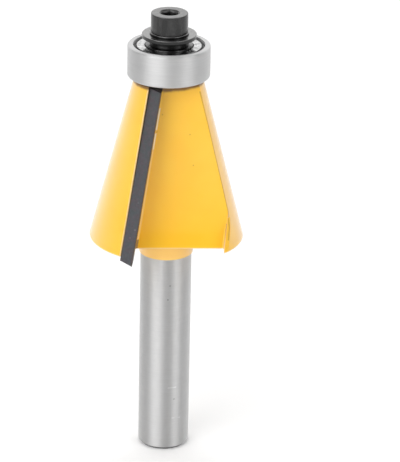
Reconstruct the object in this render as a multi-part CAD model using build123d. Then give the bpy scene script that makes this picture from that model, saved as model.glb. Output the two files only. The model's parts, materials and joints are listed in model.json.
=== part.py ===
"""Bevel router bit with a guide bearing.

A two-wing cutter with brazed carbide tips, an 8 mm shank below and a small shielded ball bearing above,
held by a socket head cap screw and washers. Millimetres. The axis of the bit is Z, the flat end of the
shank stands on Z = 0, and the first wing's tip faces the front, which is -Y.
"""

from build123d import *
import math
import os

# Shank and collar
shank_diameter = 8.0
shank_end_chamfer = 0.5
collar_diameter = 8.4
collar_bottom_z = 32.8
collar_chamfer = 0.15

# Conical cutter body
body_bottom_z = 35.75
body_height = 25.65
body_bottom_diameter = 23.9
body_half_angle = 14.5

# Carbide tips
tip_count = 2
cutting_diameter = 25.4
bevel_angle = 15.0
tip_overhang = 0.85
tip_top_setback = 0.55
tip_thickness = 2.0
tip_width = 2.7
tip_stand_proud = 0.25
tip_seat_front = 0.5
rake_turn = -5.0
rake_setback = 4.15
shear_angle = 7.8
flank_turn = 37.1

# Gullets in front of the tips
gullet_turn = 2.3
gullet_top_offset = 2.8
gullet_floor_angle = 5.7
runout_height = 6.25
runout_radius = 24.0
gullet_width_right = 8.6
gullet_wall_angle = 7.6
rake_fillet = 0.6
heel_fillet = 0.25
heel_land_depth = 0.1
heel_land_turn = -49.0
heel_land_lean = 21.4
heel_land_height = 4.75
seat_edge_break = 0.15

# Shoulder, spigot and tapped hole for the bearing
shoulder_diameter = 6.4
shoulder_height = 0.5
spigot_below_ring = 0.4
spigot_chamfer = 0.2
tapped_hole_depth = 9.0
drill_point_angle = 118.0

# Guide bearing
bearing_outer_diameter = 12.7
bearing_bore = 4.7625
bearing_width = 4.978
ring_chamfer = 0.3
bore_chamfer = 0.15
ball_count = 7
ball_diameter = 2.381
ball_pitch_diameter = 8.731
groove_radius = 1.24
groove_depth = 0.46
shield_seat_ledge = 0.38
shield_seat_depth = 0.72

# Shields
shield_thickness = 0.2
shield_recess = 0.15
shield_rim_width = 0.6
shield_step = 0.3

# Ball cage
cage_sheet = 0.22
clinch_tab_width = 0.55
clinch_tab_fold = 0.45

# Washers and screw
bearing_spacer_diameter = 6.0
bearing_spacer_height = 1.14
cover_washer_diameter = 8.36
cover_washer_thickness = 0.6
head_washer_diameter = 6.0
head_washer_thickness = 0.3
washer_bore = 3.2
washer_edge = 0.08
screw_diameter = 3.0
screw_length = 8.0
screw_head_diameter = 5.68
screw_head_height = 3.0
screw_head_chamfer = 0.12
screw_tip_chamfer = 0.3
socket_width = 2.5
socket_depth = 1.5
socket_lead_in = 0.15

# Room that a cutting tool runs past the surface it leaves
overcut = 1.0
reach = 60.0

# Clearances
seat_clearance = 0.01
thread_clearance = 0.02
ball_clearance = 0.02
cage_ball_clearance = 0.08
cage_inner_clearance = 0.22
cage_outer_clearance = 0.32
shield_bore_clearance = 0.13

# Heights that follow from the sizes above
body_top_z = body_bottom_z + body_height
bearing_bottom_z = body_top_z + shoulder_height
bearing_top_z = bearing_bottom_z + bearing_width
bearing_middle_z = bearing_bottom_z + bearing_width / 2
cover_washer_z = bearing_top_z + bearing_spacer_height
head_washer_z = cover_washer_z + cover_washer_thickness
screw_seat_z = head_washer_z + head_washer_thickness
spigot_top_z = bearing_top_z - spigot_below_ring
tip_bottom_z = body_bottom_z - tip_overhang
tip_top_z = body_top_z - tip_top_setback
runout_z = body_bottom_z + runout_height
body_bottom_radius = body_bottom_diameter / 2
body_top_radius = body_bottom_radius - body_height * math.tan(math.radians(body_half_angle))
pitch_radius = ball_pitch_diameter / 2
ball_radius = ball_diameter / 2
inner_track_radius = pitch_radius - ball_radius - ball_clearance
outer_track_radius = pitch_radius + ball_radius + ball_clearance
inner_ring_radius = inner_track_radius + groove_depth
outer_land_radius = outer_track_radius - groove_depth
shield_seat_radius = outer_land_radius + shield_seat_ledge
cage_inner_radius = inner_ring_radius + cage_inner_clearance
cage_outer_radius = outer_land_radius - cage_outer_clearance


def turned(points):
    """A solid turned about Z from a profile of (radius, height) points."""
    profile = make_face(Polyline(*[(radius, height) for radius, height in points], close=True))
    return revolve(Plane.XZ * profile, Axis.Z)


def ring(outer, inner, bottom, height):
    """A flat ring about the axis."""
    top = bottom + height
    return turned([(inner, bottom), (outer, bottom), (outer, top), (inner, top)])


def washer(outer, bottom, height):
    """A washer over the screw, with its two outer corners broken."""
    top = bottom + height
    return turned([
        (washer_bore / 2, bottom),
        (outer - washer_edge, bottom),
        (outer, bottom + washer_edge),
        (outer, top - washer_edge),
        (outer - washer_edge, top),
        (washer_bore / 2, top),
    ])


def turned_blank():
    """Shank, collar, cone, shoulder and spigot before the gullets are milled."""
    shank = shank_diameter / 2
    collar = collar_diameter / 2
    shoulder = shoulder_diameter / 2
    spigot = bearing_bore / 2 - seat_clearance
    return turned([
        (0, 0),
        (shank - shank_end_chamfer, 0),
        (shank, shank_end_chamfer),
        (shank, collar_bottom_z),
        (collar, collar_bottom_z + collar_chamfer),
        (collar, body_bottom_z),
        (body_bottom_radius, body_bottom_z),
        (body_top_radius, body_top_z),
        (shoulder, body_top_z),
        (shoulder, bearing_bottom_z),
        (spigot, bearing_bottom_z),
        (spigot, spigot_top_z - spigot_chamfer),
        (spigot - spigot_chamfer, spigot_top_z),
        (0, spigot_top_z),
    ])


def tapped_hole():
    """Blind hole for the screw, with a drill point at its foot."""
    radius = screw_diameter / 2 + thread_clearance
    floor = spigot_top_z - tapped_hole_depth
    point = floor - radius / math.tan(math.radians(drill_point_angle / 2))
    mouth = spigot_top_z + overcut
    return turned([(0, point), (radius, floor), (radius, mouth), (0, mouth)])


def rake_x(height):
    """Distance of the rake face from the axis at a height, in the frame turned by rake_turn."""
    return -rake_setback + (height - tip_bottom_z) * math.tan(math.radians(shear_angle))


def edge_point(height):
    """Point of the cutting edge at a height, on the cone that the edge sweeps."""
    radius = cutting_diameter / 2 - (height - tip_bottom_z) * math.tan(math.radians(bevel_angle))
    across = rake_x(height)
    return Vector(across, -math.sqrt(radius ** 2 - across ** 2), height)


def tip_plate(bottom, top, outward, forward):
    """The tip's plate between two heights, square to its rake face, grown outward and forward of that face."""
    lean = math.radians(shear_angle)
    backward = Vector(-math.cos(lean), 0, math.sin(lean))
    start = Vector(0, -outward, 0) - backward * forward
    inward = Vector(0, outward + tip_width, 0)
    low = edge_point(bottom) + start
    high = edge_point(top) + start
    rake_face = make_face(Polyline(low, high, high + inward, low + inward, close=True))
    return extrude(rake_face, amount=forward + tip_thickness, dir=backward)


def carbide_tip():
    """Carbide plate with its ground flank behind the cutting edge, in the first wing."""
    low = edge_point(tip_bottom_z)
    high = edge_point(tip_top_z)
    flank = Vector(-math.cos(math.radians(flank_turn)), math.sin(math.radians(flank_turn)), 0)
    outside = flank.cross(high - low).normalized()
    if outside.Y > 0:
        outside = -outside
    keep = Plane(origin=low, x_dir=high - low, z_dir=-outside)
    ground = split(tip_plate(tip_bottom_z, tip_top_z, 0, 0), bisect_by=keep, keep=Keep.TOP)
    return Rot(0, 0, rake_turn) * ground


def tip_pocket():
    """Room that the tip's seat takes out of the wing, open to the front, the outside and both ends."""
    return Rot(0, 0, rake_turn) * tip_plate(tip_bottom_z, body_top_z, body_bottom_radius, tip_seat_front)


def floor_y(height):
    """Straight floor of the gullet at a height, in the frame turned by gullet_turn."""
    return -gullet_top_offset - (body_top_z - height) * math.tan(math.radians(gullet_floor_angle))


def gullet_profile():
    """Side view of the gullet: a sloping floor that curves outward at its foot, open to the front."""
    start = (floor_y(runout_z), runout_z)
    sweep = math.degrees((runout_z - body_bottom_z + overcut) / runout_radius)
    down = math.radians(gullet_floor_angle)
    run_out = JernArc(start, (-math.sin(down), -math.cos(down)), runout_radius, -sweep)
    foot = run_out @ 1
    head = (floor_y(bearing_bottom_z), bearing_bottom_z)
    front = Polyline(foot, (-reach, foot.Y), (-reach, bearing_bottom_z), head)
    return make_face([Line(head, start), run_out, front])


def rake_wall():
    """Plane of the gullet's wall that carries the tip, facing into the gullet."""
    lean = math.radians(shear_angle)
    facing = Vector(math.cos(lean), 0, -math.sin(lean))
    wall = Plane(origin=Vector(-rake_setback, 0, tip_bottom_z) - facing * tip_stand_proud, z_dir=facing)
    return Plane(Rot(0, 0, rake_turn - gullet_turn) * wall.location)


def heel_wall():
    """Plane of the gullet's other wall, facing into the gullet."""
    lean = math.radians(gullet_wall_angle)
    facing = Vector(-math.cos(lean), 0, math.sin(lean))
    return Plane(origin=(gullet_width_right, 0, body_bottom_z), z_dir=facing)


def floor_edges(milled, wall):
    """Edges where the floor meets a wall."""
    def on_floor(edge):
        middle = edge @ 0.5
        inside = body_bottom_z - overcut / 2 < middle.Z < bearing_bottom_z - overcut / 2
        return inside and middle.Y > -reach / 2 and abs(wall.to_local_coords(middle).Z) < 1e-4
    return milled.edges().filter_by(on_floor)


def gullet():
    """Milled space in front of the first tip, with a fillet along each wall."""
    milled = extrude(Plane.YZ * gullet_profile(), amount=reach, both=True)
    milled = split(milled, bisect_by=heel_wall(), keep=Keep.TOP)
    milled = split(milled, bisect_by=rake_wall(), keep=Keep.TOP)
    milled = fillet(floor_edges(milled, rake_wall()), rake_fillet)
    milled = fillet(floor_edges(milled, heel_wall()), heel_fillet)
    return Rot(0, 0, gullet_turn) * milled


def heel_land():
    """Narrow flat ground along the sharp heel between the gullet's wall and the cone."""
    side = body_bottom_radius
    corner = Vector(gullet_width_right, -math.sqrt(side ** 2 - gullet_width_right ** 2), body_bottom_z)
    around = math.radians(heel_land_turn)
    up = math.radians(heel_land_lean)
    facing = Vector(math.cos(up) * math.cos(around), math.cos(up) * math.sin(around), math.sin(up))
    ground = Plane(origin=corner - facing * heel_land_depth, z_dir=facing)
    block = Box(side, side, heel_land_height + overcut, align=(Align.MIN, Align.MAX, Align.MIN))
    block = Pos(gullet_width_right - overcut, 0, body_bottom_z - overcut) * block
    return Rot(0, 0, gullet_turn) * split(block, bisect_by=ground, keep=Keep.TOP)


def seat_back():
    """Plane of the seat's wall behind the first tip, facing away from the tip."""
    lean = math.radians(shear_angle)
    facing = Vector(-math.cos(lean), 0, math.sin(lean))
    wall = Plane(origin=Vector(-rake_setback, 0, tip_bottom_z) + facing * tip_thickness, z_dir=facing)
    return Plane(Rot(0, 0, rake_turn) * wall.location)


def seat_outer_edges(body, wall):
    """Edges where the cone meets the wall behind the tip."""
    def on_edge(edge):
        middle = edge @ 0.5
        radius = body_bottom_radius - (middle.Z - body_bottom_z) * math.tan(math.radians(body_half_angle))
        on_cone = abs(math.hypot(middle.X, middle.Y) - radius) < 1e-3
        return on_cone and abs(wall.to_local_coords(middle).Z) < 1e-3
    return body.edges().filter_by(on_edge)


def cutter_body():
    """The one-piece steel body, with gullets and tip seats milled at each wing."""
    body = turned_blank() - tapped_hole()
    for wing in range(tip_count):
        turn = Rot(0, 0, wing * 360 / tip_count)
        body -= turn * gullet()
        body -= turn * heel_land()
        body -= turn * tip_pocket()
    for wing in range(tip_count):
        wall = Plane(Rot(0, 0, wing * 360 / tip_count) * seat_back().location)
        body = chamfer(seat_outer_edges(body, wall), seat_edge_break)
    return body


def inner_ring():
    """Inner race with its ball groove."""
    outer = inner_ring_radius
    bore = bearing_bore / 2
    race = turned([
        (bore, bearing_bottom_z + bore_chamfer),
        (bore + bore_chamfer, bearing_bottom_z),
        (outer, bearing_bottom_z),
        (outer, bearing_top_z),
        (bore + bore_chamfer, bearing_top_z),
        (bore, bearing_top_z - bore_chamfer),
    ])
    return race - Pos(0, 0, bearing_middle_z) * Torus(inner_track_radius + groove_radius, groove_radius)


def outer_ring():
    """Outer race with its ball groove and a shield seat at each end."""
    outer = bearing_outer_diameter / 2
    land = outer_land_radius
    seat = shield_seat_radius
    race = turned([
        (land, bearing_bottom_z + shield_seat_depth),
        (seat, bearing_bottom_z + shield_seat_depth),
        (seat, bearing_bottom_z),
        (outer - ring_chamfer, bearing_bottom_z),
        (outer, bearing_bottom_z + ring_chamfer),
        (outer, bearing_top_z - ring_chamfer),
        (outer - ring_chamfer, bearing_top_z),
        (seat, bearing_top_z),
        (seat, bearing_top_z - shield_seat_depth),
        (land, bearing_top_z - shield_seat_depth),
    ])
    return race - Pos(0, 0, bearing_middle_z) * Torus(outer_track_radius - groove_radius, groove_radius)


def shield():
    """Pressed disc of the upper side: a raised inner flat and a stepped rim that rests in its seat."""
    inner = inner_ring_radius + shield_bore_clearance
    rim = shield_seat_radius
    flat = rim - shield_rim_width
    top = bearing_top_z - shield_recess
    step = shield_step
    thick = shield_thickness
    return turned([
        (inner, top - thick),
        (flat - thick / 2, top - thick),
        (flat + thick / 2, top - thick - step),
        (rim, top - thick - step),
        (rim, top - step),
        (flat + thick, top - step),
        (flat + thick / 4, top),
        (inner, top),
    ])


def mirrored_in_bearing(piece):
    """The same piece on the other side of the bearing's middle plane."""
    return mirror(piece, about=Plane(origin=(0, 0, bearing_middle_z), z_dir=(0, 0, 1)))


def ball_places():
    """Places of the ball centres."""
    return PolarLocations(pitch_radius, ball_count)


def bearing_balls():
    """The balls of the bearing."""
    return [Pos(0, 0, bearing_middle_z) * place * Sphere(ball_radius) for place in ball_places()]


def cage_half():
    """Upper pressed half of the cage: flat lands between domed pockets."""
    pocket = ball_radius + cage_ball_clearance
    dome = pocket + cage_sheet
    half = ring(cage_outer_radius, cage_inner_radius, 0, cage_sheet)
    band = ring(cage_outer_radius, cage_inner_radius, 0, dome)
    for place in ball_places():
        half += (place * Sphere(dome)) & band
    for place in ball_places():
        half -= place * Sphere(pocket)
    return half


def clinch_tabs():
    """Tabs of the lower half that fold over the outer edge of the upper half between the pockets."""
    edge = cage_outer_radius
    post = Pos(edge + cage_sheet / 2, 0, 0) * Box(cage_sheet, clinch_tab_width, 4 * cage_sheet)
    fold = Pos(edge + cage_sheet / 2 - clinch_tab_fold / 2, 0, 1.5 * cage_sheet)
    fold = fold * Box(cage_sheet + clinch_tab_fold, clinch_tab_width, cage_sheet)
    hook = Pos(edge + cage_sheet / 2 - clinch_tab_fold / 2, 0, -1.5 * cage_sheet)
    hook = hook * Box(cage_sheet + clinch_tab_fold, clinch_tab_width, cage_sheet)
    tab = post + fold + hook
    return [Rot(0, 0, (turn + 0.5) * 360 / ball_count) * tab for turn in range(ball_count)]


def cap_screw():
    """Socket head cap screw: a chamfered head with a hexagon socket, and its threaded shank."""
    radius = screw_diameter / 2
    head = screw_head_diameter / 2
    top = screw_seat_z + screw_head_height
    screw = turned([
        (0, screw_seat_z - screw_length),
        (radius - screw_tip_chamfer, screw_seat_z - screw_length),
        (radius, screw_seat_z - screw_length + screw_tip_chamfer),
        (radius, screw_seat_z),
        (head, screw_seat_z),
        (head, top - screw_head_chamfer),
        (head - screw_head_chamfer, top),
        (0, top),
    ])
    hexagon = RegularPolygon(socket_width / 2, 6, major_radius=False, rotation=30)
    screw -= extrude(Pos(0, 0, top - socket_depth) * hexagon, amount=socket_depth)
    lead_in = socket_width / 2 / math.cos(math.radians(30)) + socket_lead_in
    screw -= Pos(0, 0, top - lead_in / 2) * Cone(0, lead_in, lead_in)
    return screw


def model():
    """Every piece by its node name."""
    nodes = {"cutter_body": cutter_body()}
    tip = carbide_tip()
    for wing in range(tip_count):
        nodes[f"carbide_tip_{wing + 1}"] = Rot(0, 0, wing * 360 / tip_count) * tip
    nodes["bearing_inner_ring"] = inner_ring()
    nodes["bearing_outer_ring"] = outer_ring()
    nodes["shield_upper"] = shield()
    nodes["shield_lower"] = mirrored_in_bearing(shield())
    for number, ball in enumerate(bearing_balls(), start=1):
        nodes[f"bearing_ball_{number}"] = ball
    upper = cage_half()
    nodes["cage_upper"] = Pos(0, 0, bearing_middle_z) * upper
    lower = mirror(upper, about=Plane.XY)
    for tab in clinch_tabs():
        lower += tab
    nodes["cage_lower"] = Pos(0, 0, bearing_middle_z) * lower
    nodes["bearing_spacer"] = washer(bearing_spacer_diameter / 2, bearing_top_z, bearing_spacer_height)
    nodes["cover_washer"] = washer(cover_washer_diameter / 2, cover_washer_z, cover_washer_thickness)
    nodes["head_washer"] = washer(head_washer_diameter / 2, head_washer_z, head_washer_thickness)
    nodes["cap_screw"] = cap_screw()
    return nodes


def write_nodes(nodes):
    """One STEP file per node."""
    os.makedirs("parts", exist_ok=True)
    for name, piece in nodes.items():
        export_step(piece, f"parts/{name}.step")
        print(name, round(piece.volume, 2))


write_nodes(model())
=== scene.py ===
"""Looks of a bevel router bit: its finishes, the turned parts of its bearing and screw, and the studio."""

from __future__ import annotations

import json
import logging
import math
from dataclasses import dataclass
from enum import Enum
from functools import cached_property, partialmethod, reduce
from typing import Any, Callable, Iterable, Sequence

import bmesh
import bpy
import numpy as np
from mathutils import Matrix, Vector

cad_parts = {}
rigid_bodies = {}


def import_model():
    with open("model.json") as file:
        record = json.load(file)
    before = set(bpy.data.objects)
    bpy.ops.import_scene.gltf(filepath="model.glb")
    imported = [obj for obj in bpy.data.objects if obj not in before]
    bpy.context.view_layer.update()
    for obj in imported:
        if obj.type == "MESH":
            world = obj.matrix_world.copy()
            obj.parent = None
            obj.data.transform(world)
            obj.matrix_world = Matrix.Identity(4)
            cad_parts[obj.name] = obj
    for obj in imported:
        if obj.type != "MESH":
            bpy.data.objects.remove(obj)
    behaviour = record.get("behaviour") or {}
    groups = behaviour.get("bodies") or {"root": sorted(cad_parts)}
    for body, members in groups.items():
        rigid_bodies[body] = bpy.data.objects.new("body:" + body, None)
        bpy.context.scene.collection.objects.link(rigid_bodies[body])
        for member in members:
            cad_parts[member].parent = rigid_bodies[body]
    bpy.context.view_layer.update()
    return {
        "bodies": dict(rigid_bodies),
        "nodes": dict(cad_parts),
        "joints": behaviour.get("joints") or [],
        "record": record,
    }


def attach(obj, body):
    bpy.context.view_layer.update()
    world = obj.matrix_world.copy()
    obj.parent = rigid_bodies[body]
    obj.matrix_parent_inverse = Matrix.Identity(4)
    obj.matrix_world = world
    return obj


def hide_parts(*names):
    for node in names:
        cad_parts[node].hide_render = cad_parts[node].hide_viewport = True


LOG = logging.getLogger("router_bit")
MM = 0.001
WELD = 1e-8
SHARP_DEGREES = 32.0
CORNER_STEPS = 5
QUARTER_TURN = 0.25

Span = tuple[float, float]
Triple = tuple[float, float, float]
Source = Any  # a Term, or a socket's plain value


class Body(Enum):
    """Bodies that the pieces ride on."""

    CUTTER = "cutter"
    OUTER_RACE = "outer_race"


class Slot(Enum):
    """Material slots of the record."""

    BEARING = "bearing_steel"
    SHIELD = "shield_steel"
    BLACK = "black_oxide"


@dataclass(frozen=True)
class Grain:
    """Fractal noise: its waves for each millimetre, detail and roughness, and a stretch along x, y and z."""

    scale: float
    detail: float = 2.0
    roughness: float = 0.5
    stretch: Triple | None = None


class Graph:
    """A material's or world's node tree, with one method that adds any node."""

    def __init__(self, tree: bpy.types.NodeTree) -> None:
        """Empties the tree.

        Args:
            tree: the node tree to fill.
        """
        self.tree = tree
        tree.nodes.clear()

    def node(self, kind: str, settings: dict[str, Any], *values: Source, **inputs: Source) -> bpy.types.Node:
        """Adds a node.

        Args:
            kind: the node's type, such as ShaderNodeMath.
            settings: the node's own settings, which are set first.
            values: values or links of the first sockets, in order.
            inputs: values or links by socket name, with _ for a space, or by number as in6.

        Returns:
            The new node.
        """
        made = self.tree.nodes.new(kind)
        for name, value in settings.items():
            setattr(made, name, value)
        sockets: dict[int | str, Source] = dict(enumerate(values))
        for name, value in inputs.items():
            sockets[int(name[2:]) if name[2:].isdigit() else name.replace("_", " ")] = value
        for key, value in sockets.items():
            if isinstance(value, Term):
                self.tree.links.new(value.socket, made.inputs[key])
            else:
                made.inputs[key].default_value = value
        return made

    def term(self, made: bpy.types.Node, output: int | str = 0) -> Term:
        """The node's output as a term."""
        return Term(self, made.outputs[output])

    def blend(self, factor: Source, low: Source, high: Source) -> Term:
        """Mixes two colours by a factor, through the Mix node's numbered colour sockets."""
        made = self.node("ShaderNodeMix", {"data_type": "RGBA"}, factor, in6=low, in7=high)
        return self.term(made, 2)

    def shade(self, level: Term, tint: Source = (1.0, 1.0, 1.0, 1.0)) -> Term:
        """A tint darkened to a level from 0 to 1."""
        return self.blend(level.clamped(), grey(0.0), tint)

    def vector(self, operation: str, *values: Source, output: str = "Vector") -> Term:
        """Adds a Vector Math node.

        Args:
            operation: the node's operation.
            values: its vectors in order, where a linked number counts for all three axes.
            output: the output's name.

        Returns:
            The result.
        """
        return self.term(self.node("ShaderNodeVectorMath", {"operation": operation}, *values), output)

    @cached_property
    def place(self) -> Term:
        """Place on the object in millimetres, in the part's frame."""
        metres = self.term(self.node("ShaderNodeTexCoord", {}), "Object")
        return self.vector("MULTIPLY", metres, (1.0 / MM,) * 3)

    @cached_property
    def height(self) -> Term:
        """Height in millimetres."""
        return self.parts(self.place)[2]

    @cached_property
    def radius(self) -> Term:
        """Distance from the axis in millimetres."""
        x, y, _ = self.parts(self.place)
        return (x * x + y * y) ** 0.5

    def parts(self, vector: Term) -> tuple[Term, Term, Term]:
        """The three coordinates of a vector."""
        made = self.node("ShaderNodeSeparateXYZ", {}, vector)
        return self.term(made, 0), self.term(made, 1), self.term(made, 2)

    def noise(self, grain: Grain) -> Term:
        """Fractal noise over the object.

        Args:
            grain: the kind of noise.

        Returns:
            A value from about 0 to 1.
        """
        place = self.vector("MULTIPLY", self.place, grain.stretch) if grain.stretch else self.place
        sizes = {"Scale": grain.scale, "Detail": grain.detail, "Roughness": grain.roughness}
        return self.term(self.node("ShaderNodeTexNoise", {}, place, **sizes))

    def seen(self) -> Term:
        """1 for the rays that show the background: camera, glossy and transmission rays."""
        path = self.node("ShaderNodeLightPath", {})
        return self.union(self.term(path, f"Is {kind} Ray") for kind in ("Camera", "Glossy", "Transmission"))

    def union(self, masks: Iterable[Term]) -> Term:
        """The largest of several masks."""
        return reduce(lambda first, other: first.math("MAXIMUM", other), masks)

    def bump(self, height: Term, distance: float) -> Term:
        """Normal bumped by a height term, with the distance in millimetres for a height of 1."""
        made = self.node("ShaderNodeBump", {}, Height=height, Distance=distance * MM, Strength=1.0)
        return self.term(made)


class Term:
    """A value in a node tree, on which Python's operators add Math nodes."""

    def __init__(self, graph: Graph, socket: bpy.types.NodeSocket) -> None:
        """Wraps an output socket."""
        self.graph = graph
        self.socket = socket

    def math(self, operation: str, *others: Source) -> Term:
        """Adds a Math node, which takes this value first.

        Args:
            operation: the node's operation.
            others: its other inputs in order.

        Returns:
            The result.
        """
        return self.graph.term(self.graph.node("ShaderNodeMath", {"operation": operation}, self, *others))

    # Each operator adds the Math node of its name.
    __add__ = __radd__ = partialmethod(math, "ADD")
    __mul__ = __rmul__ = partialmethod(math, "MULTIPLY")
    __sub__ = partialmethod(math, "SUBTRACT")
    __truediv__ = partialmethod(math, "DIVIDE")
    __pow__ = partialmethod(math, "POWER")

    def __rsub__(self, other: Source) -> Term:
        """Another value less this one."""
        return self * -1.0 + other

    def clamped(self) -> Term:
        """The value held between 0 and 1."""
        return self.graph.term(self.graph.node("ShaderNodeClamp", {}, self))

    def step(self, low: float, high: float) -> Term:
        """A smooth step from 0 at low to 1 at high."""
        smooth = {"interpolation_type": "SMOOTHSTEP"}
        made = self.graph.node("ShaderNodeMapRange", smooth, self, low, high)
        return self.graph.term(made)

    def band(self, span: Span, edge: float) -> Term:
        """1 between two values and 0 outside, over a soft edge."""
        low, high = span
        return self.step(low - edge, low) * (1.0 - self.step(high, high + edge))

    def between(self, low: float, high: float) -> Term:
        """Low where the value is 0 and high where it is 1."""
        return low + (high - low) * self

    def falloff(self) -> Term:
        """exp(-x^2) of the value x."""
        return (self * self * -1.0).math("EXPONENT")


def grid_mesh(name: str, points: np.ndarray, closed_u: bool, closed_v: bool) -> bpy.types.Mesh:
    """Makes a mesh from a grid of points, with a quad between each four neighbours.

    Args:
        name: the mesh's name.
        points: array of shape (u, v, 3) in metres, where v turns to the left of u seen from outside.
        closed_u: whether the last row joins the first.
        closed_v: whether the last column joins the first.

    Returns:
        The mesh, with smooth faces, sharp creases and its poles closed.
    """
    rows, columns = points.shape[:2]
    u = np.arange(rows if closed_u else rows - 1)[:, None]
    v = np.arange(columns if closed_v else columns - 1)[None, :]
    next_u = (u + 1) % rows
    next_v = (v + 1) % columns
    corners = [u * columns + v, next_u * columns + v, next_u * columns + next_v, u * columns + next_v]
    faces = np.stack(np.broadcast_arrays(*corners), axis=-1).reshape(-1, 4)
    mesh = bpy.data.meshes.new(name)
    mesh.from_pydata(points.reshape(-1, 3).tolist(), [], faces.tolist())
    welded = bmesh.new()
    welded.from_mesh(mesh)
    bmesh.ops.remove_doubles(welded, verts=welded.verts, dist=WELD)
    welded.to_mesh(mesh)
    welded.free()
    mesh.polygons.foreach_set("use_smooth", np.ones(len(mesh.polygons), dtype=bool))
    mesh.set_sharp_from_angle(angle=math.radians(SHARP_DEGREES))
    mesh.update()
    return mesh


def rounded_profile(corners: Sequence[Triple]) -> np.ndarray:
    """Rounds a closed outline.

    A corner of radius r is replaced by the circle that touches both of its sides: the arc starts at
    r / tan(half the inner angle) before the corner, and its centre lies on the corner's bisector. One more
    point on each side of the arc keeps the flats flat in smooth shading. A corner of radius 0 stays as it is.

    Args:
        corners: (x, y, rounding radius) of each corner in order.

    Returns:
        Array of (x, y) points.
    """
    spots = np.array([corner[:2] for corner in corners])
    radii = np.array([corner[2] for corner in corners])[:, None]
    before = np.roll(spots, 1, axis=0) - spots
    after = np.roll(spots, -1, axis=0) - spots
    before /= np.linalg.norm(before, axis=1, keepdims=True)
    after /= np.linalg.norm(after, axis=1, keepdims=True)
    half = np.arccos(np.clip((before * after).sum(axis=1, keepdims=True), -1.0, 1.0)) / 2
    bisector = before + after
    bisector /= np.linalg.norm(bisector, axis=1, keepdims=True)
    reach = radii / np.tan(half)
    centre = spots + bisector * radii / np.sin(half)
    start = spots + before * reach
    end = spots + after * reach
    share = np.linspace(0.0, 1.0, CORNER_STEPS)[None, :, None]
    swing = np.pi - 2 * half[:, :, None]
    from_start = (start - centre)[:, None, :] * np.sin((1 - share) * swing) / np.sin(swing)
    from_end = (end - centre)[:, None, :] * np.sin(share * swing) / np.sin(swing)
    arcs = centre[:, None, :] + from_start + from_end
    lead_in = (start + before * reach / 4)[:, None, :]
    lead_out = (end + after * reach / 4)[:, None, :]
    points = np.concatenate([lead_in, arcs, lead_out], axis=1)
    keep = (radii > 0) | (np.arange(CORNER_STEPS + 2) == 0)
    return points[keep]


def turned_mesh(name: str, outline: np.ndarray, segments: int = 128) -> bpy.types.Mesh:
    """Turns a closed outline about Z: a point (r, z) at angle a goes to (r cos a, r sin a, z).

    Args:
        name: the mesh's name.
        outline: (radius, height) points in millimetres, counter-clockwise seen with the axis on the left.
        segments: steps round the axis.

    Returns:
        The mesh in metres.
    """
    angle = np.linspace(0.0, 2 * np.pi, segments, endpoint=False)[:, None]
    radius = outline[None, :, 0]
    height = np.broadcast_to(outline[None, :, 1], (segments, len(outline)))
    points = np.stack([radius * np.cos(angle), radius * np.sin(angle), height], axis=-1)
    return grid_mesh(name, points * MM, closed_u=True, closed_v=True)


def add_piece(mesh: bpy.types.Mesh, body: Body, material: bpy.types.Material, node: str) -> None:
    """Puts a mesh into the scene as a piece of the object.

    Args:
        mesh: the finished mesh, in the part's frame.
        body: the body that it rides on.
        material: its finish.
        node: the modelled node that it stands for.
    """
    piece = bpy.data.objects.new(mesh.name, mesh)
    bpy.context.scene.collection.objects.link(piece)
    mesh.materials.append(material)
    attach(piece, body.value)
    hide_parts(node)
    LOG.info("%s: %d faces on %s", piece.name, len(mesh.polygons), body.value)


def dress(node: bpy.types.Object, material: bpy.types.Material) -> None:
    """Gives a modelled node its finish.

    Args:
        node: the node's object.
        material: the finish.
    """
    if node.material_slots:
        for holder in node.material_slots:
            holder.material = material
    else:
        node.data.materials.append(material)
    LOG.info("%s: %s", node.name, material.name)


def surface(graph: Graph, **inputs: Source) -> Term:
    """Adds a surface shader."""
    return graph.term(graph.node("ShaderNodeBsdfPrincipled", {}, **inputs))


def grey(level: float) -> tuple[float, float, float, float]:
    """An even grey."""
    return (level, level, level, 1.0)


@dataclass(frozen=True)
class Finish:
    """A finish with the name of its material. Each kind has a shader of its own."""

    name: str

    def shader(self, graph: Graph) -> Term:
        """The shader of this kind of finish."""
        raise NotImplementedError

    def material(self) -> bpy.types.Material:
        """Builds the material.

        Returns:
            The material.
        """
        material = bpy.data.materials.new(self.name)
        material.use_nodes = True
        graph = Graph(material.node_tree)
        graph.node("ShaderNodeOutputMaterial", {}, self.shader(graph))
        return material


@dataclass(frozen=True)
class GroundSteel(Finish):
    """Steel ground round the axis, with fine lines that circle it.

    A tone is the share of the level, and a polish the share of the roughness, at the noise's 0 and at its 1.
    The other finishes use these words in the same way.
    """

    level: float
    roughness: float
    anisotropic: float = 0.0
    lines: Grain = Grain(1.0, 3.0, 0.6, (0.25, 0.25, 9.0))
    line_tone: Span = (0.86, 1.14)
    line_polish: Span = (0.85, 1.15)
    line_depth: float = 0.0015
    cloud: Grain = Grain(0.35)
    cloud_tone: Span = (0.95, 1.05)

    def shader(self, graph: Graph, wear_and_shade: Callable[[Term], Term] | None = None) -> Term:
        """Steel with fine lines, and a broad cloud over them.

        Args:
            graph: the material's graph.
            wear_and_shade: gives the level after wear and painted shade from the level before it, where there
                are any.

        Returns:
            The shader.
        """
        fine = graph.noise(self.lines)
        cloud = graph.noise(self.cloud)
        level = self.level * fine.between(*self.line_tone) * cloud.between(*self.cloud_tone)
        return surface(
            graph,
            Base_Color=graph.shade(wear_and_shade(level) if wear_and_shade else level),
            Metallic=1.0,
            Roughness=self.roughness * fine.between(*self.line_polish),
            Anisotropic=self.anisotropic,
            Anisotropic_Rotation=QUARTER_TURN,
            Normal=graph.bump(fine, self.line_depth),
        )


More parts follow.
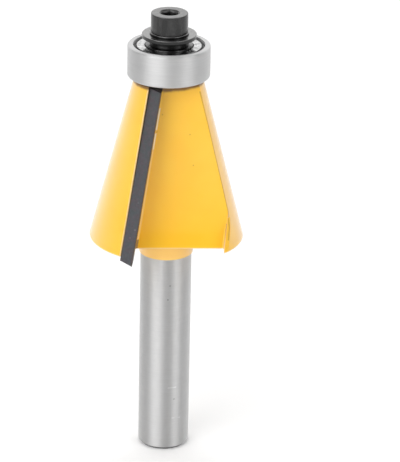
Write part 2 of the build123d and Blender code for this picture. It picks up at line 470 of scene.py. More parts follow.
@dataclass(frozen=True)
class ShieldSteel(Finish):
    """Bright pressed steel, smooth on the disc, and dull in the groove round its rim, where painted shade
    darkens it.
    """

    groove_radius: float
    groove_edge: Span = (-0.02, 0.1)
    # The groove's lower level is painted shade.
    level: Span = (0.44, 0.1)
    metallic: Span = (1.0, 0.6)
    roughness: Span = (0.1, 0.5)
    mottle: Grain = Grain(1.3, 4.0, 0.65)
    mottle_span: Span = (0.3, 0.7)
    mottle_tone: Span = (0.5, 1.4)
    mottle_polish: Span = (0.7, 1.3)
    mottle_depth: float = 0.02

    def shader(self, graph: Graph) -> Term:
        """Steel whose level, metallic and roughness go from the disc's value to the groove's.

        Args:
            graph: the material's graph.

        Returns:
            The shader.
        """
        # The groove is darkened as painted shade in the recess.
        edge = (self.groove_radius + offset for offset in self.groove_edge)
        groove = graph.radius.step(*edge)
        mottle = graph.noise(self.mottle)
        tone = mottle.step(*self.mottle_span).between(*self.mottle_tone)
        return surface(
            graph,
            Base_Color=graph.shade(groove.between(*self.level) * tone),
            Metallic=groove.between(*self.metallic),
            Roughness=groove.between(*self.roughness) * mottle.between(*self.mottle_polish),
            Normal=graph.bump(mottle, self.mottle_depth),
        )


@dataclass(frozen=True)
class BlackOxide(Finish):
    """Blackened steel: dark, with a soft sheen and a faint mottle.

    It may be paler on chosen upper faces, from wear and a painted highlight on those faces and their edges,
    streaked upright on its walls, and lit by painted light inside a socket, given as its radius and the
    height where that starts. Each tone is for the mottle.
    """

    level: float = 0.007
    roughness: float = 0.2
    index: float = 1.5
    tint: Triple = (1.0, 0.99, 0.98)
    mottle: Grain = Grain(2.2, 4.0, 0.65)
    mottle_tone: Span = (0.6, 1.5)
    mottle_polish: Span = (0.75, 1.25)
    mottle_depth: float = 0.006
    # Upper faces paler: wear, and a painted highlight on the faces and their edges.
    worn_and_lit_tops: tuple[float, ...] = ()
    worn_and_lit_reach: Span = (-0.05, 0.01)
    worn_and_lit_edge: float = 0.02
    worn_and_lit_level: float = 0.2
    worn_and_lit_metal: float = 0.0
    worn_and_lit_tone: Span = (0.5, 1.5)
    streak_level: float = 0.0
    streaks: Grain = Grain(1.0, 3.0, 0.6, (1.3, 1.3, 0.2))
    streak_span: Span = (0.4, 0.7)
    streak_tone: Span = (0.4, 1.6)
    # Painted light high up inside a socket.
    socket: Span | None = None
    socket_edge: float = 0.03
    socket_rise: float = 0.4
    socket_light_level: float = 0.06
    socket_tone: Span = (0.3, 1.7)

    def shader(self, graph: Graph) -> Term:
        """Mottled black, with wear and painted highlights on the tops, streaks, and painted light in the
        socket laid over it.

        Args:
            graph: the material's graph.

        Returns:
            The shader.
        """
        mottle = graph.noise(self.mottle)
        level = self.level * mottle.between(*self.mottle_tone)
        metal: Source = 0.0
        # Upper faces: wear, and a painted highlight on the faces and their edges.
        if self.worn_and_lit_tops:
            below, above = self.worn_and_lit_reach
            spans = ((top + below, top + above) for top in self.worn_and_lit_tops)
            worn_and_lit = graph.union(graph.height.band(span, self.worn_and_lit_edge) for span in spans)
            level = level + worn_and_lit * self.worn_and_lit_level * mottle.between(*self.worn_and_lit_tone)
            metal = worn_and_lit * self.worn_and_lit_metal
        if self.streak_level:
            streaks = graph.noise(self.streaks).step(*self.streak_span)
            level = level + streaks * self.streak_level * mottle.between(*self.streak_tone)
        # Painted light high up on the socket's walls.
        if self.socket:
            radius, floor = self.socket
            inside = 1.0 - graph.radius.step(radius, radius + self.socket_edge)
            lit = inside * graph.height.step(floor, floor + self.socket_rise)
            level = level + lit * self.socket_light_level * mottle.between(*self.socket_tone)
        return surface(
            graph,
            Base_Color=graph.shade(level, (*self.tint, 1.0)),
            Metallic=metal,
            Roughness=self.roughness * mottle.between(*self.mottle_polish),
            IOR=self.index,
            Normal=graph.bump(mottle, self.mottle_depth),
        )


@dataclass(frozen=True)
class WingPlane:
    """The plane of a tip's rake face, from which each wing's edges are measured."""

    turn: float = -5.0
    lean: float = 7.8
    setback: float = 4.15
    low: float = 34.9

    def distance(self, graph: Graph) -> Term:
        """Distance in front of the wing's rake face in millimetres, negative behind it.

        With x and y turned about the axis by the plane's turn, and x changed in sign on the far wing, it is
        (x + setback) cos(lean) - (z - low) sin(lean).

        Args:
            graph: the material's graph.

        Returns:
            The distance.
        """
        x, y, z = graph.parts(graph.place)
        turn, lean = math.radians(self.turn), math.radians(self.lean)
        across = x * math.cos(turn) + y * math.sin(turn)
        outward = y * math.cos(turn) - x * math.sin(turn)
        near = outward.math("SIGN") * -1.0
        return (across * near + self.setback) * math.cos(lean) - (z - self.low) * math.sin(lean)


@dataclass(frozen=True)
class Scratch:
    """A scratch, a line of painted shade or a speck: a capsule between two points in millimetres, solid in
    its core.
    """

    start: Triple
    end: Triple
    radius: float
    core: float = 0.4

    def mask(self, graph: Graph) -> Term:
        """1 in the core and 0 outside the capsule.

        The axis is nearest at start + t (end - start), where t is the share of the way along, from 0 to 1.

        Args:
            graph: the material's graph.

        Returns:
            The mask.
        """
        line = Vector(self.end) - Vector(self.start)
        offset = graph.vector("SUBTRACT", graph.place, self.start)
        along = graph.vector("DOT_PRODUCT", offset, tuple(line), output="Value") / line.length_squared
        nearest = graph.vector("MULTIPLY", tuple(line), along.clamped())
        far = graph.vector("DISTANCE", offset, nearest, output="Value")
        return 1.0 - far.step(self.core * self.radius, self.radius)


def marks(graph: Graph, scratches: Iterable[Scratch]) -> Term:
    """1 in any of the scratches and 0 outside them."""
    return graph.union(scratch.mask(graph) for scratch in scratches)


@dataclass(frozen=True)
class Carbide(Finish):
    """Ground sintered carbide: dark grey with fine grinding lines, a smoother rake face and two brown bands.

    Painted shade, brown, lies along the seat's wall, which lies the plate's thickness behind the rake face,
    and a fainter brown lies just behind that face. Spans across the plate are distances in front of the rake
    face.
    """

    level: float = 0.078
    roughness: float = 0.5
    metallic: float = 0.25
    thickness: float = 2.0
    cool_tint: Triple = (0.8, 0.92, 1.0)
    violet_tint: Triple = (1.0, 0.83, 0.99)
    patches: Grain = Grain(1.2, 3.0, 0.6)
    patch_span: Span = (0.35, 0.65)
    lines: Grain = Grain(2.0, 4.0, 0.6, (3.0, 3.0, 0.35))
    line_tone: Span = (0.4, 0.8)
    line_polish: Span = (0.8, 1.2)
    line_depth: float = 0.002
    grain: Grain = Grain(2.5, 4.0, 0.7)
    grain_tone: float = 0.8
    rake_edge: Span = (-0.06, -0.03)
    rake_tone: Span = (1.0, 0.55)
    rake_polish: Span = (1.0, 0.5)
    brown: Triple = (0.085, 0.055, 0.024)
    brown_share: float = 0.8
    # Painted shade, brown, along the seat's wall.
    seat_fade: Span = (0.04, 0.24)
    front_span: Span = (-0.2, -0.06)
    front_edge: float = 0.06
    front_share: float = 0.6
    speck_level: float = 0.08
    specks: tuple[Scratch, ...] = (
        Scratch((-4.83, -9.91, 40.29), (-4.74, -9.98, 40.31), 0.17),
        Scratch((-4.35, -8.85, 44.3), (-4.33, -8.87, 44.33), 0.12),
        Scratch((-5.53, -9.79, 38.91), (-5.5, -9.82, 38.95), 0.12),
    )

    def shader(self, graph: Graph) -> Term:
        """Grey in patches of two tints, with grinding lines, specks, painted shade at the seat and a faint
        brown band.

        Args:
            graph: the material's graph.

        Returns:
            The shader.
        """
        ahead = WingPlane().distance(graph)
        rake_face = ahead.step(*self.rake_edge)
        # Painted shade, brown, along the seat's wall.
        seat = 1.0 - ahead.step(*(offset - self.thickness for offset in self.seat_fade))
        front = ahead.band(self.front_span, self.front_edge) * self.front_share
        lines = graph.noise(self.lines)
        grain = graph.noise(self.grain)
        tone = (lines.between(*self.line_tone) + self.grain_tone * grain) * rake_face.between(*self.rake_tone)
        polish = lines.between(*self.line_polish) * rake_face.between(*self.rake_polish)
        level = self.level * tone + marks(graph, self.specks) * self.speck_level
        patches = graph.noise(self.patches).step(*self.patch_span)
        tint = graph.blend(patches, (*self.cool_tint, 1.0), (*self.violet_tint, 1.0))
        # The brown painted shade at the seat and the faint brown band behind the rake face.
        brown_band = graph.union((seat, front)) * self.brown_share
        return surface(
            graph,
            Base_Color=graph.blend(brown_band, graph.shade(level, tint), (*self.brown, 1.0)),
            Metallic=self.metallic,
            Roughness=self.roughness * polish,
            Normal=graph.bump(lines, self.line_depth),
        )


@dataclass(frozen=True)
class PaintedBody(Finish):
    """Yellow enamel over the cutter body, and bare ground steel on the shank and the spigot.

    Starts, ends and reaches are heights. The braze line and the seat's edge are distances in front of the
    wing's rake face. Each share says how far a layer covers the paint.
    """

    steel: GroundSteel = GroundSteel(
        "shank_steel",
        level=0.56,
        roughness=0.46,
        anisotropic=0.93,
        lines=Grain(1.0, 4.0, 0.7, (0.16, 0.16, 7.0)),
        line_tone=(0.9, 1.1),
        line_polish=(0.8, 1.2),
        line_depth=0.002,
        cloud=Grain(0.8, 4.0, 0.7),
        cloud_tone=(0.93, 1.07),
    )
    # Painted shade: the shank's bottom chamfer is darkened.
    foot_shade_span: Span = (0.3, 0.6)
    foot_shade_tone: float = 0.26
    scratch_level: float = 0.2
    bright_scratches: tuple[Scratch, ...] = (
        Scratch((0.64, -3.95, 10.92), (1.9, -3.52, 10.91), 0.09),
        Scratch((1.35, -3.76, 5.58), (2.62, -3.02, 5.41), 0.08),
    )
    speck_tone: float = 0.45
    dark_specks: tuple[Scratch, ...] = (
        Scratch((1.55, -3.69, 8.87), (1.7, -3.62, 8.87), 0.1),
        Scratch((0.42, -3.98, 26.11), (0.42, -3.98, 26.15), 0.14),
        Scratch((0.7, -3.94, 28.48), (0.75, -3.93, 28.48), 0.12),
    )
    paint_start: Span = (32.75, 32.81)
    paint_end: Span = (61.68, 61.72)
    waver: Grain = Grain(0.9)
    waver_height: float = 0.12
    paint: Triple = (0.96, 0.512, 0.017)
    cloudy_paint: Triple = (0.96, 0.53248, 0.0221)
    cloud: Grain = Grain(0.22)
    cloud_span: Span = (0.3, 0.7)
    # The paler paint for the upper part, the painted highlights and the bare braze edge.
    pale_paint: Triple = (0.95, 0.78, 0.5)
    # A painted highlight on the paint below 35 mm, above the bare shank.
    collar_highlight_end: Span = (34.9, 35.1)
    collar_highlight_share: float = 0.26
    upper_start: Span = (40.0, 50.0)
    upper_share: float = 0.035
    # How far the painted highlights and the bare braze edge cover the paint.
    highlight_and_wear_share: float = 0.85
    # Painted highlight along the seat's outer edge.
    seat_edge: Span = (-2.2, -1.97)
    seat_fade: float = 0.03
    seat_highlight: float = 0.55
    # Along the braze line: a bare braze edge with a painted highlight on it.
    braze_line: Span = (-0.1, 0.16)
    braze_fade: float = 0.04
    reach_fade: float = 0.3
    upper_reach: Span = (51.3, 57.5)
    upper_gap: Span = (53.75, 54.2)
    gap_fade: float = 0.1
    lower_reach: Span = (36.8, 51.3)
    lower_highlight_and_wear: float = 0.25
    # Painted highlight round the body's lower edge.
    rim_start: Span = (35.4, 35.5)
    rim_end: Span = (35.8, 35.92)
    rim_highlight: float = 0.7
    # Painted reflection: the paint turns paler where it is seen edge on.
    edge_on_reflection: Triple = (1.0, 0.84, 0.66)
    edge_on_blend: float = 0.5
    edge_on_power: float = 2.5
    edge_on_reflection_share: float = 0.6
    # Painted shade under the bearing's overhang. This brown also colours the specks and the painted shade
    # lines.
    shade_and_dirt: Triple = (0.16, 0.07, 0.008)
    bearing_shade_span: Span = (60.95, 61.45)
    bearing_shade_share: float = 0.93
    bearing_shade_slope: float = 0.32
    shade_waver: Grain = Grain(0.9, 3.0)
    shade_waver_height: float = 0.4
    neck_radius: float = 5.4
    # Painted shade in the corner at the bottom of the rake face.
    corner_shade_fade: float = 0.05
    corner_shade_reach: Span = (35.9, 37.0)
    corner_shade_reach_fade: float = 0.2
    corner_shade_share: float = 0.8
    speck_share: float = 0.35
    paint_specks: tuple[Scratch, ...] = (
        Scratch((3.38, -3.46, 53.5), (3.4, -3.46, 53.55), 0.16),
        Scratch((3.97, -3.92, 48.64), (3.99, -3.92, 48.69), 0.16),
        Scratch((-0.86, -3.31, 56.62), (-0.86, -3.31, 56.67), 0.14),
        Scratch((-1.66, -3.62, 53.91), (-1.66, -3.62, 53.96), 0.14),
    )
    # Painted shade lines along the heel's edges.
    heel_shade_share: float = 0.42
    heel_shade_lines: tuple[Scratch, ...] = (
        Scratch((4.8, -2.72, 60.2), (6.34, -3.26, 54.24), 0.15),
        Scratch((6.34, -3.26, 54.24), (8.68, -4.11, 44.76), 0.15),
        Scratch((8.68, -4.11, 44.76), (9.5, -4.47, 41.3), 0.17),
        Scratch((9.5, -4.5, 41.3), (9.7, -5.3, 39.0), 0.17),
        Scratch((9.7, -5.3, 39.0), (9.6, -6.3, 37.4), 0.17),
        Scratch((9.22, -4.86, 39.4), (8.88, -5.87, 36.18), 0.15),
    )
    gloss_roughness: float = 0.2
    peel: Grain = Grain(1.4)
    peel_depth: float = 0.003
    sheen: float = 0.3
    sheen_roughness: float = 0.5
    sheen_tint: Triple = (1.0, 0.93, 0.85)

    def bare_steel(self, graph: Graph) -> Term:
        """Ground shank with a few scratches and specks, and painted shade on its bottom chamfer.

        Args:
            graph: the material's graph.

        Returns:
            The shader.
        """
        bright = marks(graph, self.bright_scratches) * self.scratch_level
        dark = marks(graph, self.dark_specks).between(1.0, self.speck_tone)
        # Painted shade on the bottom chamfer.
        foot_shade = graph.height.step(*self.foot_shade_span).between(self.foot_shade_tone, 1.0)
        return self.steel.shader(graph, lambda level: (level + bright) * dark * foot_shade)

    def edge_highlights_and_wear(self, graph: Graph) -> Term:
        """Where the paint is shown paler: painted highlights, and some wear.

        A painted highlight runs along the seat's outer edge and round the body's lower edge. Along the braze
        line beside the rake face, more above than below, the edge is bare braze with a painted highlight on
        it.

        Args:
            graph: the material's graph.

        Returns:
            The paler share, from 0 to 1.
        """
        ahead = WingPlane().distance(graph)
        # Painted highlight along the seat's outer edge.
        seat = ahead.band(self.seat_edge, self.seat_fade) * self.seat_highlight
        # The braze line: a bare braze edge with a painted highlight on it.
        braze = ahead.band(self.braze_line, self.braze_fade)
        gap = graph.height.band(self.upper_gap, self.gap_fade)
        upper = braze * graph.height.band(self.upper_reach, self.reach_fade) * (1.0 - gap)
        lower = braze * graph.height.band(self.lower_reach, self.reach_fade) * self.lower_highlight_and_wear
        # Painted highlight round the body's lower edge.
        rim = graph.height.step(*self.rim_start) * (1.0 - graph.height.step(*self.rim_end)) * self.rim_highlight
        return graph.union((seat, upper, lower, rim))

    def shade_and_specks(self, graph: Graph) -> Term:
        """Where the paint is darkened: painted shade under the bearing, along the heel's edges and in the
        corner at the bottom of the rake face, and specks.

        Args:
            graph: the material's graph.

        Returns:
            The darkening, from 0 to 1.
        """
        # Painted shade under the bearing, reaching lower further in, with a wavering edge.
        inward = self.neck_radius - graph.radius
        shade_waver = graph.noise(self.shade_waver) * self.shade_waver_height
        shade_and_dirt = (graph.height + inward * self.bearing_shade_slope + shade_waver).step(*self.bearing_shade_span) * self.bearing_shade_share
        # Painted shade in the corner at the bottom of the rake face.
        corner_shade = WingPlane().distance(graph).band(self.braze_line, self.corner_shade_fade)
        corner_shade = corner_shade * graph.height.band(self.corner_shade_reach, self.corner_shade_reach_fade) * self.corner_shade_share
        specks = marks(graph, self.paint_specks) * self.speck_share
        # Painted shade lines along the heel's edges.
        heel = marks(graph, self.heel_shade_lines) * self.heel_shade_share
        return graph.union((shade_and_dirt, specks, corner_shade, heel))

    def enamel(self, graph: Graph) -> Term:
        """Glossy yellow enamel: a little paler high up, with painted highlights low down and along edges, a
        painted reflection where it is seen edge on, and painted shade and specks on top.

        Args:
            graph: the material's graph.

        Returns:
            The shader.
        """
        pale_colour = (*self.pale_paint, 1.0)
        cloud = graph.noise(self.cloud).step(*self.cloud_span)
        paint = graph.blend(cloud, (*self.paint, 1.0), (*self.cloudy_paint, 1.0))
        # Painted highlight on the paint below 35 mm.
        collar_highlight = (1.0 - graph.height.step(*self.collar_highlight_end)) * self.collar_highlight_share
        upper = graph.height.step(*self.upper_start) * self.upper_share
        paint = graph.blend(graph.union((upper, collar_highlight)), paint, pale_colour)
        # Edges paler: painted highlights and a bare braze edge.
        paint = graph.blend(self.edge_highlights_and_wear(graph) * self.highlight_and_wear_share, paint, pale_colour)
        # Painted reflection: paler where the paint is seen edge on.
        facing = graph.term(graph.node("ShaderNodeLayerWeight", {}, self.edge_on_blend), "Facing")
        grazing_reflection = facing ** self.edge_on_power * self.edge_on_reflection_share
        paint = graph.blend(grazing_reflection, paint, (*self.edge_on_reflection, 1.0))
        return surface(
            graph,
            Base_Color=graph.blend(self.shade_and_specks(graph), paint, (*self.shade_and_dirt, 1.0)),
            Roughness=self.gloss_roughness,
            Sheen_Weight=self.sheen,
            Sheen_Roughness=self.sheen_roughness,
            Sheen_Tint=(*self.sheen_tint, 1.0),
            Normal=graph.bump(graph.noise(self.peel), self.peel_depth),
        )

    def shader(self, graph: Graph) -> Term:
        """Steel and enamel, with a paint edge on the shank that wavers by a smooth noise.

        Args:
            graph: the material's graph.

        Returns:
            The shader.
        """
        waver = graph.noise(self.waver) * self.waver_height
        painted = (graph.height - waver).step(*self.paint_start) * (1.0 - graph.height.step(*self.paint_end))
        bare, coated = self.bare_steel(graph), self.enamel(graph)
        return graph.term(graph.node("ShaderNodeMixShader", {}, painted, bare, coated))


@dataclass(frozen=True)
class FloorWhite(Finish):
    """Matt pale grey that glows as background, so that it is white where no shadow falls."""

    level: float = 0.8
    glow: float = 0.2

    def shader(self, graph: Graph) -> Term:
        """Diffuse grey and a glow for the rays that show the background.

        Args:
            graph: the material's graph.

        Returns:
            The shader.
        """
        matt = graph.term(graph.node("ShaderNodeBsdfDiffuse", {}, grey(self.level)))
        glow = graph.term(graph.node("ShaderNodeEmission", {}, grey(1.0), graph.seen() * self.glow))
        return graph.term(graph.node("ShaderNodeAddShader", {}, matt, glow))


@dataclass
class GuideBearing:
    """The guide bearing: races and dust shields turned with rounded edges, balls and cage as modelled."""

    frame: dict[str, Any]
    bottom: float = 61.9
    width: float = 4.978
    outer_radius: float = 6.35
    bore_radius: float = 2.38125
    inner_race_radius: float = 3.635
    outer_land_radius: float = 5.116
    seat_radius: float = 5.496
    seat_depth: float = 0.72
    track_radius: float = 1.24
    inner_track: float = 3.155
    outer_track: float = 5.576
    shield_bore: float = 3.765
    shield_recess: float = 0.15
    shield_sheet: float = 0.2
    shield_rim: float = 0.6
    shield_step: float = 0.3
    rim_rounding: float = 0.3
    bend_rounding: float = 0.06
    edge_rounding: float = 0.05
    bore_rounding: float = 0.15
    sheet_rounding: float = 0.025
    track_points: int = 13
    race_segments: int = 160

    @property
    def top(self) -> float:
        """Height of the upper faces."""
        return self.bottom + self.width

    @property
    def middle(self) -> float:
        """Height of the ball centres."""
        return self.bottom + self.width / 2

    def track(self, centre: float, edge: float) -> list[Triple]:
        """Sharp corners along a ball track, which is an arc in the race's section.

        A point at angle a lies at the centre plus the track's radius times (cos a, sin a). The arc bulges
        into the race and ends where it meets the race's edge.

        Args:
            centre: distance of the arc's centre from the axis.
            edge: radius of the race beside the track.

        Returns:
            The corners, with a rounding radius of 0.
        """
        half = math.acos(abs(edge - centre) / self.track_radius)
        facing = 0.0 if edge > centre else math.pi
        angle = np.linspace(facing + half, facing - half, self.track_points)
        radius = centre + self.track_radius * np.cos(angle)
        height = self.middle + self.track_radius * np.sin(angle)
        return [tuple(corner) for corner in np.stack([radius, height, np.zeros_like(angle)], axis=1).tolist()]

    def outer_race(self) -> bpy.types.Mesh:
        """Outer race: rounded rim, two shield seats and the ball track, turned about the axis.

        Returns:
            The mesh.
        """
        land, seat, deep = self.outer_land_radius, self.seat_radius, self.seat_depth
        corners = [
            (self.outer_radius, self.bottom, self.rim_rounding),
            (self.outer_radius, self.top, self.rim_rounding),
            (seat, self.top, self.edge_rounding),
            (seat, self.top - deep, self.edge_rounding),
            (land, self.top - deep, self.edge_rounding),
            *self.track(self.outer_track - self.track_radius, land),
            (land, self.bottom + deep, self.edge_rounding),
            (seat, self.bottom + deep, self.edge_rounding),
            (seat, self.bottom, self.edge_rounding),
        ]
        return turned_mesh("outer_race", rounded_profile(corners), self.race_segments)

    def inner_race(self) -> bpy.types.Mesh:
        """Inner race: bore, flat faces and the ball track, turned about the axis.

        Returns:
            The mesh.
        """
        corners = [
            (self.bore_radius, self.bottom, self.bore_rounding),
            (self.inner_race_radius, self.bottom, self.edge_rounding),
            *self.track(self.inner_track + self.track_radius, self.inner_race_radius),
            (self.inner_race_radius, self.top, self.edge_rounding),
            (self.bore_radius, self.top, self.bore_rounding),
        ]
        return turned_mesh("inner_race", rounded_profile(corners))

    def dust_shield(self, name: str, side: float) -> bpy.types.Mesh:
        """Pressed dust shield: a flat disc whose rim steps down into the seat.

        Args:
            name: the mesh's name.
            side: 1 for the upper side, -1 for its mirror below.

        Returns:
            The mesh.
        """
        top, step, thick = self.width / 2 - self.shield_recess, self.shield_step, self.shield_sheet
        flat = self.seat_radius - self.shield_rim
        bend, edge = self.bend_rounding, self.sheet_rounding
        outline = [
            (self.shield_bore, top - thick, edge),
            (flat - thick / 2, top - thick, bend),
            (flat + thick / 2, top - thick - step, bend),
            (self.seat_radius, top - thick - step, edge),
            (self.seat_radius, top - step, edge),
            (flat + thick, top - step, bend),
            (flat + thick / 4, top, bend),
            (self.shield_bore, top, edge),
        ]
        corners = [(radius, self.middle + side * height, rounding) for radius, height, rounding in outline]
        return turned_mesh(name, rounded_profile(corners if side > 0 else corners[::-1]))

    def build(self) -> None:
        """Builds the races and the shields and dresses every piece of the bearing."""
        race = GroundSteel("race_ground_steel", level=0.61, roughness=0.56, anisotropic=0.8).material()
        # The inner race has a low level, so it shows dark.
        dark_race = GroundSteel("race_dark_steel", level=0.1, roughness=0.2).material()
        shield = ShieldSteel("shield_bright_steel", self.seat_radius - self.shield_rim).material()
        upper, lower = self.dust_shield("upper_dust_shield", 1.0), self.dust_shield("lower_dust_shield", -1.0)
        add_piece(self.outer_race(), Body.OUTER_RACE, race, "bearing_outer_ring")
        add_piece(self.inner_race(), Body.CUTTER, dark_race, "bearing_inner_ring")
        add_piece(upper, Body.OUTER_RACE, shield, "shield_upper")
        add_piece(lower, Body.OUTER_RACE, shield, "shield_lower")
        ball = GroundSteel("ball_polished_steel", level=0.8, roughness=0.08).material()
        cage = GroundSteel("cage_pressed_steel", level=0.55, roughness=0.35).material()
        for name, node in self.frame["nodes"].items():
            if name.startswith("bearing_ball"):
                dress(node, ball)
            if name.startswith("cage_"):
                dress(node, cage)


@dataclass
class Fastening:
    """The cap screw, its two washers and the spacer. Each ring is given as its radius and thickness."""

    bottom: float = 66.878
    spacer: Span = (3.0, 1.14)
    wide_washer: Span = (4.18, 0.6)
    small_washer: Span = (3.0, 0.3)
    washer_bore: float = 1.6
    washer_rounding: float = 0.1
    thread_radius: float = 1.5
    thread_pitch: float = 0.5
    thread_depth: float = 0.307
    thread_samples: int = 8
    screw_length: float = 8.0
    screw_segments: int = 192
    tip_chamfer: float = 0.3
    tip_share: float = 0.8
    head_radius: float = 2.84
    head_height: float = 3.0
    head_rounding: float = 0.16
    seat_rounding: float = 0.06
    socket_width: float = 2.5
    socket_depth: float = 1.5
    socket_lead_in: float = 0.15
    socket_rows: int = 16
    socket_lit_depth: float = 0.65

    @property
    def socket_corner(self) -> float:
        """Radius of the hexagon's corners."""
        return self.socket_width / 2 / math.cos(math.pi / 6)

    def washer(self, name: str, bottom: float, size: Span) -> bpy.types.Mesh:
        """Washer with rounded edges, turned about the axis.

        Args:
            name: the mesh's name.
            bottom: height of its lower face.
            size: its radius and thickness.

        Returns:
            The mesh.
        """
        radius, thickness = size
        rounding = min(self.washer_rounding, thickness / 3)
        corners = [
            (self.washer_bore, bottom, rounding / 2),
            (radius, bottom, rounding),
            (radius, bottom + thickness, rounding),
            (self.washer_bore, bottom + thickness, rounding / 2),
        ]
        return turned_mesh(name, rounded_profile(corners))

    def screw(self, seat: float) -> bpy.types.Mesh:
        """Cap screw, from the tip's centre over the thread and the head to the centre of the socket's floor.

        The thread's radius at angle a and height z is the outer radius less the thread's depth times the
        triangle wave of z / pitch - a / (2 pi), and it narrows to a share of that at the tip. The head's rims
        are the second and third corner of a rounded outline. The socket's wall lies at the larger of the
        hexagon, half its width divided by cos(a taken within 30 degrees of a flat), and the lead-in cone.

        Args:
            seat: height of the face under the head.

        Returns:
            The mesh.
        """
        angle = np.linspace(0.0, 2 * np.pi, self.screw_segments, endpoint=False)[:, None]
        shank = np.arange(0.0, self.screw_length, self.thread_pitch / self.thread_samples)[None, :]
        wave = np.abs(((shank / self.thread_pitch - angle / (2 * np.pi)) % 1.0) * 2 - 1)
        taper = np.minimum(1.0, shank / self.tip_chamfer)
        thread = self.thread_radius - self.thread_depth * wave
        thread = thread * (self.tip_share + (1.0 - self.tip_share) * taper)
        top = seat + self.head_height
        head = rounded_profile(
            [
                (self.thread_radius, seat, self.seat_rounding),
                (self.head_radius, seat, self.seat_rounding),
                (self.head_radius, top, self.head_rounding),
                (self.thread_radius, top, self.seat_rounding),
            ]
        )
        rims = head[CORNER_STEPS + 2 : 3 * (CORNER_STEPS + 2)]
        depth = np.linspace(0.0, self.socket_depth, self.socket_rows)[None, :]
        around = (angle + np.pi / 6) % (np.pi / 3) - np.pi / 6
        flat = self.socket_width / 2 / np.cos(around)
        wall = np.maximum(flat, self.socket_corner + self.socket_lead_in - depth)
        pole = np.zeros_like(angle)
        side = np.broadcast_to(rims, (len(angle), *rims.shape))
        radius = np.hstack([pole, thread, side[:, :, 0], wall, pole])
        rise = np.hstack(
            [
                pole + seat - self.screw_length,
                np.broadcast_to(seat - self.screw_length + shank, thread.shape),
                side[:, :, 1],
                np.broadcast_to(top - depth, wall.shape),
                pole + top - self.socket_depth,
            ]
        )
        points = np.stack([radius * np.cos(angle), radius * np.sin(angle), rise], axis=-1)
        return grid_mesh("socket_screw", points * MM, closed_u=True, closed_v=False)

    def build(self) -> None:
        """Builds the stack from the inner race up and gives it its finish."""
        black = BlackOxide("black_oxide_steel", index=1.42).material()
        wide = self.bottom + self.spacer[1]
        small = wide + self.wide_washer[1]
        seat = small + self.small_washer[1]
        top = seat + self.head_height
        # The head's top: wear and a painted highlight on it and its rim; painted light in the socket.
        screw_black = BlackOxide(
            "screw_black_oxide",
            worn_and_lit_tops=(top,),
            worn_and_lit_level=0.11,
            streak_level=0.018,
            socket=(self.socket_corner, top - self.socket_lit_depth),
            roughness=0.23,
        ).material()
        # The washers' tops: wear and a painted highlight on them and their edges.
        tops = (small, seat)
        worn_and_lit = BlackOxide("worn_and_lit_black_oxide", worn_and_lit_tops=tops, worn_and_lit_metal=1.0, level=0.004).material()
        stack = [
            (self.washer("spacer_ring", self.bottom, self.spacer), black, "bearing_spacer"),
            (self.washer("wide_washer", wide, self.wide_washer), worn_and_lit, "cover_washer"),
            (self.washer("small_washer", small, self.small_washer), worn_and_lit, "head_washer"),
            (self.screw(seat), screw_black, "cap_screw"),
        ]
        for mesh, material, node in stack:
            add_piece(mesh, Body.CUTTER, material, node)


@dataclass
class Cutter:
    """The painted body and its carbide tips."""

    frame: dict[str, Any]

    def build(self) -> None:
        """Builds the finishes and dresses the body and the tips."""
        nodes = self.frame["nodes"]
        dress(nodes["cutter_body"], PaintedBody("yellow_enamel_and_steel").material())
        carbide = Carbide("ground_carbide").material()
        dress(nodes["carbide_tip_1"], carbide)
        dress(nodes["carbide_tip_2"], carbide)


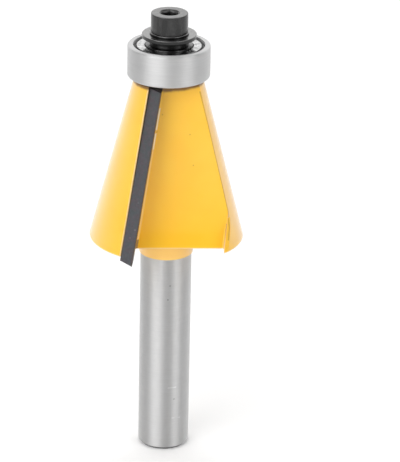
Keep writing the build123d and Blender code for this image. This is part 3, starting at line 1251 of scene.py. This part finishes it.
@dataclass
class Studio:
    """Pale floor, a bright room with one soft lamp overhead, and the camera at the photo's viewing angle.

    Lengths of the studio are in metres, and bearings are in degrees from the camera's side. A screen is its
    bearing, half width and level. Spans across the sky are heights from 0 at the horizon to 1 overhead.
    """

    distance: float = 0.43043
    height: float = 0.21435
    yaw: float = 0.0122
    pitch: float = 0.3924
    roll: float = 0.0202
    focal_px: float = 2988.8
    frame_long_px: float = 462.0
    sensor: float = 36.0
    floor_size: float = 6.0
    floor_rows: int = 9
    room_level: float = 0.205
    screens: tuple[Triple, ...] = ((-38.0, 28.0, 2.95), (54.0, 18.0, 2.3))
    screen_fade: Span = (0.55, 0.9)
    wall_level: float = 1.2
    wall_span: Span = (105.0, 140.0)
    ceiling_level: float = 0.15
    ceiling_span: Span = (0.45, 0.95)
    horizon_span: Span = (0.1, 0.16)
    lamp_place: Triple = (-0.25, -0.3, 0.9)
    lamp_aim: Triple = (0.0, 0.0, 0.04)
    lamp_side: float = 1.0
    lamp_watts: float = 1.7

    def camera(self) -> None:
        """Creates the camera, which stands in front of the part and looks down at it.

        An unturned camera looks straight down. It is rolled about its line of sight, tilted up to the pitch
        below level, and turned by yaw to the right.
        """
        aim = Matrix.Rotation(-self.yaw, 4, "Z") @ Matrix.Rotation(math.pi / 2 - self.pitch, 4, "X")
        turn = aim @ Matrix.Rotation(self.roll, 4, "Z")
        data = bpy.data.cameras.new("camera")
        data.sensor_width = self.sensor
        data.lens = self.focal_px * self.sensor / self.frame_long_px
        camera = bpy.data.objects.new("camera", data)
        camera.matrix_world = Matrix.Translation((0.0, -self.distance, self.height)) @ turn
        bpy.context.scene.collection.objects.link(camera)
        bpy.context.scene.camera = camera

    def floor(self) -> None:
        """Makes the floor: matt and pale, and white to the camera where no shadow falls."""
        half = self.floor_size / 2
        across = np.linspace(-half, half, self.floor_rows)
        x, y = np.meshgrid(across, across, indexing="ij")
        mesh = grid_mesh("studio_floor", np.stack([x, y, np.zeros_like(x)], axis=-1), False, False)
        floor = bpy.data.objects.new("studio_floor", mesh)
        bpy.context.scene.collection.objects.link(floor)
        mesh.materials.append(FloorWhite("studio_floor_white").material())

    def lamp(self) -> None:
        """Adds the square soft lamp overhead, which points at the part's middle."""
        data = bpy.data.lights.new("overhead", "AREA")
        data.shape = "SQUARE"
        data.size = self.lamp_side
        data.energy = self.lamp_watts
        lamp = bpy.data.objects.new("overhead", data)
        aim = Vector(self.lamp_aim) - Vector(self.lamp_place)
        lamp.rotation_mode = "QUATERNION"
        lamp.rotation_quaternion = aim.to_track_quat("-Z", "Y")
        lamp.location = self.lamp_place
        bpy.context.scene.collection.objects.link(lamp)

    def world(self) -> None:
        """Lights the room from two broad screens, a white wall behind the part and a pale ceiling.

        At a bearing a, each screen adds its level times exp(-((a - centre) / width)^4) to the room's own, and
        fades out high up. A white band at the horizon is what the camera, polished metal and glass see past
        the floor's edge.
        """
        world = bpy.data.worlds.new("studio")
        world.use_nodes = True
        bpy.context.scene.world = world
        graph = Graph(world.node_tree)
        x, y, z = graph.parts(graph.term(graph.node("ShaderNodeTexCoord", {}), "Generated"))
        bearing = x.math("ARCTAN2", y * -1.0) * math.degrees(1.0)
        reach = 1.0 - z.step(*self.screen_fade)
        level: Source = self.room_level
        for centre, width, height in self.screens:
            offset = ((bearing - centre) / width) ** 2.0
            level = level + height * offset.falloff() * reach
        level = level + self.wall_level * bearing.math("ABSOLUTE").step(*self.wall_span)
        level = level + self.ceiling_level * z.step(*self.ceiling_span)
        white = graph.seen() * (1.0 - z.math("ABSOLUTE").step(*self.horizon_span))
        sky = graph.node("ShaderNodeBackground", {}, grey(1.0), level * (1.0 - white) + white)
        graph.node("ShaderNodeOutputWorld", {}, graph.term(sky))

    def build(self) -> None:
        """Sets up the whole studio."""
        self.floor()
        self.world()
        self.lamp()
        self.camera()
        bpy.context.scene.view_settings.view_transform = "Standard"


def main() -> None:
    """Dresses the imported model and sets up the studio."""
    logging.basicConfig(level=logging.INFO, format="%(name)s %(message)s")
    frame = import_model()
    for part in (Cutter(frame), GuideBearing(frame), Fastening(), Studio()):
        part.build()


if __name__ == "__main__":
    main()
